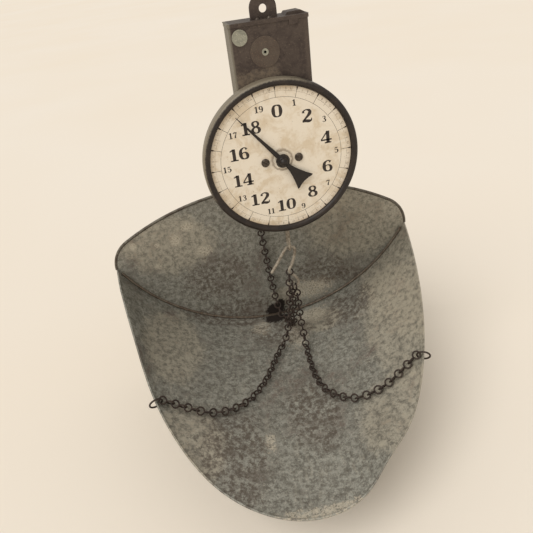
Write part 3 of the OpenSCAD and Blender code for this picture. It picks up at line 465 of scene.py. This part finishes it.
simpleFinishes = {
    "pointer_black": dict(base="1b1310", blotch="261d18", speck="463930", dark="0e0908", metal=0.1, cloud=6,
                          grain=0.9, specks=0.4, rough=(0.35, 0.55), depth=0.08),
    "pale_seal": dict(base="a5a493", blotch="8f8f82", speck="cfc8b4", dark="6d675a", metal=0.2, cloud=4,
                      grain=1.2, specks=0.7, rough=(0.45, 0.6), depth=0.12),
    "brown_disc": dict(base="5c5045", blotch="54473d", speck="8a715b", dark="3a2e27", metal=0.1, cloud=7,
                       grain=1.1, specks=0.6, rough=(0.6, 0.75), depth=0.14),
    "plain_steel": dict(base="8b857a", blotch="6d655a", speck="b0a898", dark="4a433b", metal=0.7, cloud=8,
                        grain=1.2, specks=0.5, rough=(0.35, 0.55), depth=0.08),
    "dark_screw": dict(base="574d44", blotch="41372f", speck="8e8273", dark="211913", metal=0.5, cloud=3,
                       grain=0.8, specks=0.6, rough=(0.38, 0.6), depth=0.1),
    "spring_steel": dict(base="7d766a", blotch="605749", speck="a39a8a", dark="3e362e", metal=0.8, cloud=5,
                         grain=1.0, specks=0.5, rough=(0.3, 0.5), depth=0.06),
    "movement_brass": dict(base="94733f", blotch="6f5430", speck="b99a5e", dark="463420", metal=0.8, cloud=7,
                           grain=1.0, specks=0.5, rough=(0.35, 0.55), depth=0.06),
    "hook_wire": dict(base="b5ab9a", blotch="857868", speck="d8cdb8", dark="4a3d33", metal=0.15, cloud=4,
                      grain=1.0, specks=0.6, rough=(0.4, 0.6), depth=0.12),
    "rusty_chain": dict(base="30241d", blotch="41332a", speck="6c5845", dark="1b120d", metal=0.15, cloud=6,
                        grain=0.9, specks=0.55, rough=(0.5, 0.7), depth=0.18),
    "scoop_edge": dict(base="6f6a5f", blotch="544a40", speck="a79d8a", dark="352b24", metal=0.25, cloud=7,
                       grain=1.2, specks=0.6, rough=(0.45, 0.65), depth=0.14),
    "solder": dict(base="746a5c", blotch="5a4c3f", speck="a68f70", dark="352922", metal=0.2, cloud=8,
                   grain=1.3, specks=0.7, rough=(0.5, 0.7), depth=0.22),
}
finishes = {name: wornSurface(name, settings) for name, settings in simpleFinishes.items()}
finishes["case_paint"] = caseEnamel("case_paint", enamel)
finishes["bezel_paint"] = bezelEnamel("bezel_paint", bezel)
finishes["dial_enamel"] = dialEnamel("dial_enamel", cream)
finishes["scoop_sheet"] = scoopMetal("scoop_sheet", troughTone)
plateMetal = scoopMetal("scoop_plate", plateTone)


def coat(piece, material):
    if piece.data.materials:
        for i in range(len(piece.material_slots)):
            piece.material_slots[i].material = material
    else:
        piece.data.materials.append(material)


for part in frame["record"]["subparts"]:
    coat(frame["nodes"][part["node"]], finishes[part["material_slot"]])
coat(frame["nodes"]["scoop_back"], plateMetal)
coat(frame["nodes"]["disc_eyelet"], finishes["pale_seal"])
print("stage: finishes on the carried-over nodes")


# Mesh helpers: everything is worked out as whole arrays
def newPiece(name, points, faces, body, material, smooth=True):
    mesh = bpy.data.meshes.new(name)
    mesh.from_pydata(np.asarray(points).reshape(-1, 3).tolist(), [], faces)
    mesh.polygons.foreach_set("use_smooth", [smooth] * len(mesh.polygons))
    mesh.update()
    piece = bpy.data.objects.new(name, mesh)
    scene.collection.objects.link(piece)
    coat(piece, material)
    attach(piece, body)
    return piece


def gridFaces(rows, columns, closedRows=False, closedColumns=False, start=0):
    # Quads between neighbours of a grid of points, row by row; a closed direction joins its end to its start
    i = np.arange(rows if closedRows else rows - 1)[:, None]
    j = np.arange(columns if closedColumns else columns - 1)[None, :]
    down, right = (i + 1) % rows, (j + 1) % columns
    corners = [i * columns + j, i * columns + right, down * columns + right, down * columns + j]
    quads = np.stack(corners, axis=-1)
    return (quads.reshape(-1, 4) + start).tolist()


def curveThrough(knots, pieces):
    # Catmull-Rom curve: a cubic between each two knots whose slope at a knot follows its neighbours
    knots = np.asarray(knots, float)
    before = np.vstack([2 * knots[0] - knots[1], knots[:-2]])
    after = np.vstack([knots[2:], 2 * knots[-1] - knots[-2]])
    a, b, c, d = before[:, None], knots[:-1][:, None], knots[1:][:, None], after[:, None]
    t = (np.arange(pieces) / pieces)[None, :, None]
    line = 0.5 * (2 * b + t * (c - a) + t**2 * (2 * a - 5 * b + 4 * c - d) + t**3 * (3 * b - a - 3 * c + d))
    return np.vstack([line.reshape(-1, knots.shape[1]), knots[-1:]])


def tubeAlong(line, radius, across, sides):
    # A circle of the given radius carried along a line, square to it; across is the plane's own normal.
    # Each end closes in a dome: rings that shrink by the cosine and move on by the sine of a quarter turn.
    run = np.gradient(line, axis=0)
    run /= np.linalg.norm(run, axis=1, keepdims=True)
    lean = np.deg2rad(np.array([88.0, 60.0, 30.0]))
    radii = np.concatenate([radius * np.cos(lean), np.full(len(line), radius), radius * np.cos(lean[::-1])])
    first = line[0] - radius * np.sin(lean)[:, None] * run[0]
    last = line[-1] + radius * np.sin(lean[::-1])[:, None] * run[-1]
    centres = np.vstack([first, line, last])
    ways = np.vstack([np.tile(run[0], (3, 1)), run, np.tile(run[-1], (3, 1))])
    side = np.tile(np.asarray(across, float), (len(ways), 1))
    other = np.cross(ways, side)
    angle = np.arange(sides) * 2 * np.pi / sides
    around = np.cos(angle)[None, :, None] * side[:, None] + np.sin(angle)[None, :, None] * other[:, None]
    points = centres[:, None] + radii[:, None, None] * around
    faces = gridFaces(len(centres), sides, closedColumns=True)
    faces += [list(range(sides))[::-1], [(len(centres) - 1) * sides + k for k in range(sides)]]
    return points, faces


# Wire hook: the source's own line, in millimetres from the low end of the load link, as a smooth round wire
hook = {
    "wire": 0.00165,
    "linkWire": 0.0014,
    "line": [(-22.5, -25), (-13, -11.5), (-5.6, -0.3), (-2.4, 2.9), (0.6, 3.35), (4.4, 1.8), (6, -2.5),
             (4.5, -10), (1, -19.5), (-2.6, -26), (-1.8, -30.5), (3, -35.5), (6.3, -42), (5.2, -47.6),
             (0.8, -49.8), (-3.6, -48), (-5.6, -44)],
}


def addHook(settings):
    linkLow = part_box("load_link")[0][2] + settings["linkWire"]
    flat = curveThrough(settings["line"], 9) / 1000.0
    line = np.stack([flat[:, 0], np.zeros(len(flat)), flat[:, 1] + linkLow], axis=1)
    points, faces = tubeAlong(line, settings["wire"], (0, 1, 0), 18)
    piece = newPiece("wireHook", points, faces, "scoop", finishes["hook_wire"])
    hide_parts("s_hook")


addHook(hook)
print("stage: wire hook")


# Scoop sheet: part of a round tube, cut by a second round bar across it; the rim's hem is rolled from
# the same sheet. A push is its middle and width in degrees, its reach from the rim and its depth inwards.
dents = {
    "across": 210, "back": 120, "gap": 0.00006, "corner": 0.0004,
    "roll": 0.0011, "rollSteps": 17, "rollGap": 0.0001, "hemEase": 1.15,
    "wave": 0.0004, "waveSeed": 7, "waveCount": 14, "waveTurn": 1.07, "waveLong": 0.15,
    "rimFade": 0.03, "seamFade": 0.04, "pushFade": 0.05,
    "pushes": [(21.0, 7.0, 0.075, 0.0100), (-51.0, 7.0, 0.090, 0.0046), (-25.0, 11.0, 0.070, -0.0034)],
}


def softNoise(u, v, seed, waves):
    # A sum of sines whose directions, lengths and phases come from a seeded generator
    pick = np.random.default_rng(seed)
    angle, size = pick.uniform(0, np.pi, waves), pick.uniform(1.0, 4.2, waves)
    phase, share = pick.uniform(0, 2 * np.pi, waves), pick.uniform(0.5, 1.0, waves)
    waveU, waveV = size * np.cos(angle), size * np.sin(angle)
    total = np.sin(2 * np.pi * (u[..., None] * waveU + v[..., None] * waveV) + phase) * share
    return total.sum(axis=-1) / share.sum()


def inRow(points, s):
    turn = np.radians(s["turn"])
    spin = np.array([[np.cos(turn), -np.sin(turn), 0], [np.sin(turn), np.cos(turn), 0], [0, 0, 1]])
    return points @ spin.T + s["place"]


def addTrough(s, d):
    half = s["width"] / 2
    tube = (half**2 + s["depth"] ** 2) / (2 * s["depth"])
    centreUp = tube - s["depth"]
    chord = np.hypot(s["length"], s["depth"])
    bar = (chord**2 / 4 + s["bulge"] ** 2) / (2 * s["bulge"])
    out = np.array([-s["depth"], s["length"]]) / chord
    barPlace = np.array([-s["length"] / 2, -s["depth"] / 2]) - (bar - s["bulge"]) * out
    last = np.arccos((centreUp + d["corner"]) / tube)
    phi = np.linspace(-last, last, d["across"])
    mid = tube - s["sheet"] / 2
    high = centreUp - mid * np.cos(phi)
    rim = barPlace[0] - np.sqrt(bar**2 - (high - barPlace[1]) ** 2)
    long = -rim - d["gap"]

    # Section of the sheet from the plate along the inside, round the hem's roll, and back along the outside.
    # Each point is a share of the way to the roll, a distance from the rim, and an offset from the middle.
    way = np.linspace(1, 0, d["back"])
    lean = np.radians(np.linspace(-60, 240, d["rollSteps"]))
    roll, sheet = d["roll"], s["sheet"] / 2
    ring = np.stack([0 * lean, (1 - np.sin(lean)) * roll + d["rollGap"], np.cos(lean) * roll], axis=1)
    inside = np.stack([way, 0 * way + s["hem"], 0 * way + sheet], axis=1)
    outside = np.stack([way[::-1], 0 * way + s["hem"], 0 * way - sheet], axis=1)
    section = np.concatenate([inside, ring, outside])
    share, near, thick = section[:, 0][None], section[:, 1][None], section[:, 2][None]
    hem = np.minimum(1, long[:, None] / (s["hem"] * d["hemEase"]))
    fromRim = near * hem + share * (long[:, None] - s["hem"] * hem)
    y = rim[:, None] + fromRim

    # Radial waves that fade at the seam and the rim, then the wide pushes, which fade at the seam
    fade = np.clip(fromRim / d["rimFade"], 0, 1) * np.clip(-y / d["seamFade"], 0, 1)
    wide = np.broadcast_to(phi[:, None] / d["waveTurn"], y.shape)
    wave = softNoise(wide, y / d["waveLong"], d["waveSeed"], d["waveCount"]) * d["wave"] * fade
    radius = mid - thick + wave
    for middle, width, reach, deep in d["pushes"]:
        ease = np.clip(1 - fromRim / reach, 0, 1)
        bell = np.exp(-(((np.degrees(phi[:, None]) - middle) / width) ** 2))
        radius = radius - ease * ease * (3 - 2 * ease) * bell * deep * np.clip(-y / d["pushFade"], 0, 1)
    sine, cosine = np.sin(phi[:, None]), np.cos(phi[:, None])
    local = np.stack([radius * sine, y, centreUp - radius * cosine], axis=-1)
    points = inRow(local, s)
    rows, columns = points.shape[:2]
    faces = gridFaces(rows, columns, closedColumns=True)
    caps = [list(range(columns))[::-1], [(rows - 1) * columns + k for k in range(columns)]]
    piece = newPiece("scoopSheet", points, faces + caps, "scoop", finishes["scoop_sheet"])
    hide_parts("scoop_trough", "rim_hem")


addTrough(trough, dents)
print("stage: scoop sheet")


# Dial print. Each numeral is a few pen strokes in a box one unit high: knots (x, y, width of the stroke)
glyphs = {
    "0": [[(0.32, 0.95, 0.05), (0.16, 0.84, 0.13), (0.115, 0.5, 0.20), (0.16, 0.16, 0.13), (0.32, 0.05, 0.05),
           (0.48, 0.16, 0.13), (0.525, 0.5, 0.20), (0.48, 0.84, 0.13), (0.32, 0.95, 0.05)]],
    "1": [[(0.27, 0.03, 0.19), (0.27, 0.97, 0.19)], [(0.27, 0.93, 0.09), (0.04, 0.80, 0.06)],
          [(0.04, 0.035, 0.07), (0.50, 0.035, 0.07)]],
    "2": [[(0.13, 0.72, 0.16), (0.15, 0.86, 0.09), (0.31, 0.96, 0.06), (0.49, 0.86, 0.15), (0.50, 0.68, 0.19),
           (0.36, 0.44, 0.13), (0.10, 0.12, 0.07)],
          [(0.06, 0.06, 0.10), (0.24, 0.10, 0.15), (0.42, 0.06, 0.16), (0.56, 0.10, 0.09),
           (0.59, 0.27, 0.04)]],
    "3": [[(0.12, 0.79, 0.15), (0.20, 0.92, 0.07), (0.31, 0.96, 0.06), (0.46, 0.86, 0.15), (0.45, 0.66, 0.15),
           (0.26, 0.52, 0.06)],
          [(0.26, 0.52, 0.06), (0.49, 0.42, 0.15), (0.51, 0.20, 0.17), (0.32, 0.04, 0.06), (0.17, 0.08, 0.07),
           (0.11, 0.21, 0.15)]],
    "4": [[(0.44, 0.0, 0.19), (0.44, 0.98, 0.19)], [(0.42, 0.96, 0.08), (0.04, 0.29, 0.06)],
          [(0.02, 0.27, 0.08), (0.66, 0.27, 0.08)], [(0.24, 0.035, 0.07), (0.63, 0.035, 0.07)]],
    "5": [[(0.13, 0.90, 0.14), (0.34, 0.89, 0.13), (0.52, 0.95, 0.05)],
          [(0.11, 0.93, 0.05), (0.10, 0.49, 0.05)],
          [(0.10, 0.51, 0.05), (0.27, 0.61, 0.07), (0.47, 0.52, 0.15), (0.51, 0.30, 0.19), (0.33, 0.05, 0.07),
           (0.17, 0.08, 0.07), (0.11, 0.20, 0.15)]],
    "6": [[(0.50, 0.81, 0.15), (0.42, 0.93, 0.07), (0.31, 0.95, 0.06), (0.15, 0.78, 0.15), (0.11, 0.46, 0.20),
           (0.16, 0.16, 0.14), (0.32, 0.04, 0.05)],
          [(0.32, 0.04, 0.05), (0.48, 0.12, 0.13), (0.52, 0.31, 0.18), (0.46, 0.51, 0.12), (0.32, 0.58, 0.05),
           (0.19, 0.50, 0.06)]],
    "7": [[(0.06, 0.70, 0.04), (0.08, 0.84, 0.11), (0.24, 0.91, 0.14), (0.42, 0.86, 0.14),
           (0.58, 0.95, 0.05)],
          [(0.57, 0.94, 0.05), (0.44, 0.64, 0.10), (0.33, 0.34, 0.17), (0.31, 0.03, 0.21)]],
    "8": [[(0.32, 0.96, 0.05), (0.18, 0.88, 0.11), (0.15, 0.74, 0.15), (0.20, 0.60, 0.12), (0.32, 0.52, 0.07),
           (0.47, 0.42, 0.14), (0.52, 0.26, 0.18), (0.46, 0.10, 0.12), (0.32, 0.04, 0.05), (0.17, 0.11, 0.12),
           (0.11, 0.26, 0.16), (0.17, 0.42, 0.11), (0.32, 0.53, 0.07), (0.45, 0.62, 0.11), (0.48, 0.75, 0.13),
           (0.44, 0.88, 0.10), (0.32, 0.96, 0.05)]],
    "9": [[(0.14, 0.19, 0.15), (0.22, 0.07, 0.07), (0.33, 0.05, 0.06), (0.49, 0.22, 0.15), (0.53, 0.54, 0.20),
           (0.48, 0.84, 0.14), (0.32, 0.96, 0.05)],
          [(0.32, 0.96, 0.05), (0.16, 0.88, 0.13), (0.12, 0.69, 0.18), (0.18, 0.49, 0.12), (0.32, 0.42, 0.05),
           (0.45, 0.50, 0.06)]],
}
glyphWidth = {"1": 0.54}
printing = {
    "thick": 0.00004,
    "bigHigh": 0.0119, "bigRadius": 0.0470, "bigWide": 1.42,
    "smallHigh": 0.0058, "smallRadius": 0.0546, "smallWide": 1.12,
    "tinyHigh": 0.0021, "tinyRadius": 0.0669,
    "bigWeight": 1.2, "bigGap": 0.02, "bigTwoDigits": 0.94, "bigPull": 0.0052,
    "smallWeight": 1.15, "smallPull": 0.0010,
    "ringLine": 0.00028, "middleLine": 0.0002, "tickLine": 0.00034, "fineLine": 0.0002,
    "wedgeLong": 0.0034, "wedgeLines": (0.0004, 0.0017),
}


class Print:
    # Gathers strokes on the dial's plane; each is a flat bar with four corners at every point of its line
    def __init__(self):
        self.points, self.faces, self.count = [], [], 0
        self.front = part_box("dial_plate")[0][1]

    def stroke(self, line, width):
        line, width = np.asarray(line, float), np.asarray(width, float)
        run = np.gradient(line, axis=0)
        run /= np.linalg.norm(run, axis=1, keepdims=True)
        side = np.stack([-run[:, 1], run[:, 0]], axis=1) * width[:, None] / 2
        corners = np.stack([line + side, line - side, line - side, line + side], axis=1)
        depth = np.array([0, 0, 1, 1]) * printing["thick"] + self.front - printing["thick"]
        points = np.stack([corners[..., 0] + dial["centre"][0], np.broadcast_to(depth, corners.shape[:2]),
                           corners[..., 1] + dial["centre"][1]], axis=-1)
        n = len(line)
        self.points.append(points.reshape(-1, 3))
        self.faces += gridFaces(n, 4, closedColumns=True, start=self.count)
        lastCorner = self.count + (n - 1) * 4
        self.faces += [[self.count + k for k in (3, 2, 1, 0)], [lastCorner + k for k in range(4)]]
        self.count += n * 4

    def ringLine(self, radius, width, steps=180):
        angle = np.linspace(0, 2 * np.pi, steps + 1)
        self.stroke(radius * np.stack([np.sin(angle), np.cos(angle)], axis=1), np.full(steps + 1, width))

    def tick(self, turn, inner, outer, widths):
        way = np.array([np.sin(turn), np.cos(turn)])
        self.stroke([way * inner, way * outer], widths)

    def number(self, text, centre, high, wide, gap=0.06, turn=0.0, weight=1.0):
        widths = [glyphWidth.get(letter, 0.64) for letter in text]
        total = sum(widths) + gap * (len(text) - 1)
        pen = -total / 2
        spin = np.array([[np.cos(turn), -np.sin(turn)], [np.sin(turn), np.cos(turn)]])
        for letter, advance in zip(text, widths):
            for knots in glyphs[letter]:
                knots = np.array(knots, float)
                smooth = curveThrough(knots, 7) if len(knots) > 2 else knots
                flat = (smooth[:, :2] + [pen, -0.5]) * [high * wide, high]
                self.stroke(flat @ spin + centre, smooth[:, 2] * high * (0.5 + wide / 2) * weight)
            pen += advance + gap

    def finish(self, name, material):
        points = np.concatenate(self.points)
        newPiece(name, points, self.faces, "case", material, smooth=False)


def addDialPrint(s):
    lines, tiny, numbers = Print(), Print(), Print()
    lines.ringLine(dial["ring"], s["ringLine"])
    tiny.ringLine(dial["middle"], s["middleLine"])
    for i in range(20):
        turn = np.radians(18 * i)
        lines.tick(turn, dial["ring"], dial["rim"], [s["tickLine"]] * 2)
        lines.tick(turn, dial["rim"] - s["wedgeLong"], dial["rim"] - 0.0002, s["wedgeLines"])
        for k in range(1, 8):
            part = turn + np.radians(18 * k / 8)
            inner = dial["middle"] - (0.0024 if k == 4 else 0.0)
            tiny.tick(part, inner, dial["middle"] + (0.0008 if k % 2 else 0.0014), [s["fineLine"]] * 2)
        for k, text in ((2, "4"), (4, "8"), (6, "12")):
            part = turn + np.radians(18 * k / 8)
            spot = s["tinyRadius"] * np.array([np.sin(part), np.cos(part)])
            tiny.number(text, spot, s["tinyHigh"], 1.0, turn=part)
        if i % 2 == 0:
            radius = s["bigRadius"] - (s["bigPull"] * abs(np.sin(turn)) if i > 9 else 0.0)
            spot = radius * np.array([np.sin(turn), np.cos(turn)])
            wide = s["bigWide"] * (s["bigTwoDigits"] if i > 9 else 1.0)
            numbers.number(str(i), spot, s["bigHigh"], wide, gap=s["bigGap"], weight=s["bigWeight"])
        else:
            radius = s["smallRadius"] - (s["smallPull"] if i > 9 else 0.0)
            spot = radius * np.array([np.sin(turn), np.cos(turn)])
            numbers.number(str(i), spot, s["smallHigh"], s["smallWide"], weight=s["smallWeight"])
    lines.finish("dialLines", dialInk("dial_line_ink", "4a3c31", "9c8c78", 0.86))
    tiny.finish("dialFineMarks", dialInk("dial_fine_ink", "6f6253", "cdbea6", 0.66))
    numbers.finish("dialNumerals", dialInk("dial_numeral_ink", "2e2520", "756a60", 0.90))


addDialPrint(printing)
print("stage: dial print")


# Floor and light
room = {
    "floor": "f3ece2", "cloud": "f1e6d6", "drop": 0.060, "size": 80.0,
    "backdrop": "efe6d9", "fill": "fffaf2", "world": 0.64,
    "sun": 1.45, "spread": 40.0, "sunColour": (1.0, 0.98, 0.95),
    "sunPlace": (-1.0, -0.75, 1.3), "sunTarget": (0, 0, -0.2),
}


def addFloor(s):
    low = cadBox[0][2] - s["drop"]
    half = s["size"] / 2
    points = [(-half, -half, low), (half, -half, low), (half, half, low), (-half, half, low)]
    mesh = bpy.data.meshes.new("floor")
    mesh.from_pydata(points, [], [(0, 1, 2, 3)])
    floor = bpy.data.objects.new("floor", mesh)
    scene.collection.objects.link(floor)
    f = Finish("floor_paper", Specular_IOR_Level=0.0)
    f.colour(f.blend(f.noise(900, detail=2), tint(s["floor"]), tint(s["cloud"])))
    f.shader.inputs["Roughness"].default_value = 1.0
    coat(floor, f.material)


def addWorld(s):
    world = bpy.data.worlds.new("studio")
    world.use_nodes = True
    nodes, links = world.node_tree.nodes, world.node_tree.links
    fill = nodes["Background"]
    fill.inputs["Color"].default_value = tint(s["fill"])
    fill.inputs["Strength"].default_value = s["world"]
    seen = nodes.new("ShaderNodeBackground")
    seen.inputs["Color"].default_value = tint(s["backdrop"])
    either = nodes.new("ShaderNodeMixShader")
    links.new(nodes.new("ShaderNodeLightPath").outputs["Is Camera Ray"], either.inputs[0])
    links.new(fill.outputs[0], either.inputs[1])
    links.new(seen.outputs[0], either.inputs[2])
    links.new(either.outputs[0], nodes["World Output"].inputs["Surface"])
    scene.world = world


def addSun(s):
    data = bpy.data.lights.new("windowLight", "SUN")
    data.angle = np.radians(s["spread"])
    data.energy = s["sun"]
    data.color = s["sunColour"]
    lamp = bpy.data.objects.new("windowLight", data)
    lamp.location = s["sunPlace"]
    way = Vector(s["sunTarget"]) - Vector(s["sunPlace"])
    lamp.rotation_euler = way.to_track_quat("-Z", "Y").to_euler()
    scene.collection.objects.link(lamp)


addFloor(room)
addWorld(room)
addSun(room)
print("stage: floor and light")
